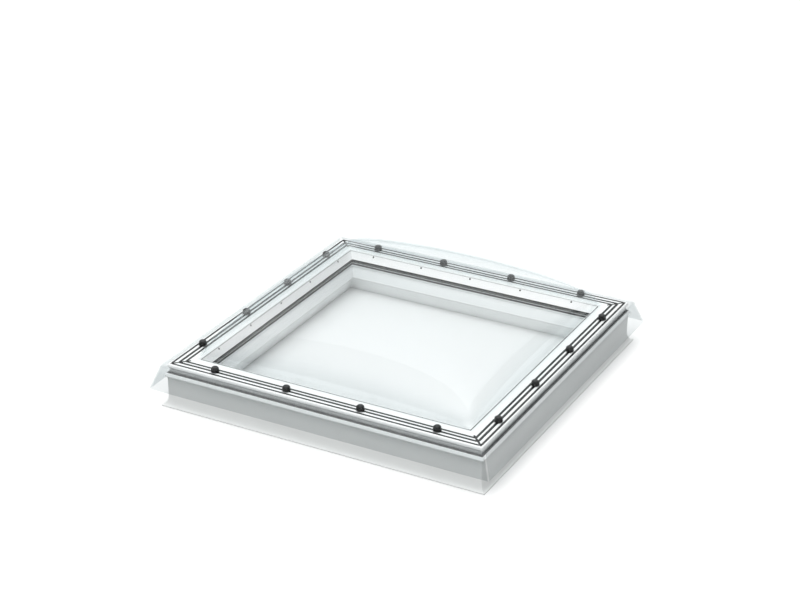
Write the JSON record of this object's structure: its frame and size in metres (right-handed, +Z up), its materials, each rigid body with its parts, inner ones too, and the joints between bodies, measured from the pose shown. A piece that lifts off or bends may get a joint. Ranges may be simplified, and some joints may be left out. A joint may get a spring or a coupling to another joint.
{
  "type": "roof skylight",
  "caption": "Square flat-roof skylight: hollow white frame with a flared foot, hinged glazed sash with grooved rails, and a clear dome held by black knobs.",
  "frame": {"origin": "middle of the base, on the roof plane", "axes": "+Z up through the dome, -Y the front with the chain operator, +Y the hinge side"},
  "size_m": [1.258, 1.258, 0.3535],
  "materials": {
    "white_pvc": "satin",
    "white_rail": "satin",
    "black_rubber": "matte",
    "grey_rubber": "matte",
    "foam": "matte",
    "steel": "zinc plated",
    "black_steel": "blackened",
    "operator_plastic": "matte",
    "pane_glass": "clear",
    "clear_dome": "clear acrylic",
    "black_plastic": "satin",
    "spacer": "matte"
  },
  "bodies": {
    "frame": {"frame": "white_pvc", "insulation_core": "foam", "outer_seal": "grey_rubber", "inner_seal": "black_rubber", "hinge_frame_leaf_left": "steel", "hinge_frame_leaf_right": "steel", "hinge_pin_left": "steel", "hinge_pin_right": "steel", "hinge_frame_screws": "steel", "operator_housing": "steel", "bearing_block": "operator_plastic", "gearbox": "steel", "drive_motor": "steel", "control_unit": "operator_plastic", "chain_guide": "operator_plastic", "operator_screws": "steel"},
    "drive": {"drive_sprocket": "steel"},
    "sash": {"sash": "white_pvc", "rail_front": "white_rail", "rail_back": "white_rail", "rail_left": "white_rail", "rail_right": "white_rail", "mitre_gaskets": "black_rubber", "edge_cord_seal": "black_rubber", "dome_seal_inner": "black_rubber", "dome_seal_outer": "black_rubber", "rail_screws": "steel", "bead_front": "white_pvc", "bead_back": "white_pvc", "bead_left": "white_pvc", "bead_right": "white_pvc", "bead_gasket": "black_rubber", "bead_screws": "black_steel", "outer_pane": "pane_glass", "inner_pane": "pane_glass", "spacer_bar": "spacer", "edge_sealant": "black_rubber", "upper_gasket": "black_rubber", "lower_gasket": "black_rubber", "setting_blocks": "operator_plastic", "dome": "clear_dome", "knobs": "black_plastic", "knob_washers": "black_rubber", "knob_bolts": "steel", "hinge_sash_leaf_left": "steel", "hinge_sash_leaf_right": "steel", "hinge_sash_screws": "steel", "chain": "steel", "chain_bracket": "steel", "bracket_pin": "steel", "bracket_screws": "steel"}
  },
  "joints": [
    {"name": "sash_hinge", "type": "hinge", "parent": "frame", "child": "sash", "pos_m": [0, 0.587, 0.1282], "axis": [-1, 0, 0], "range_deg": [0, 4.5]},
    {"name": "sprocket_spin", "type": "hinge", "parent": "frame", "child": "drive", "pos_m": [0, -0.5507, 0.10096], "axis": [1, 0, 0], "range_deg": [0, 506.3]}
  ],
  "couplings": [
    {"joint": "sprocket_spin", "follows": "sash_hinge", "ratio": 112.5}
  ]
}
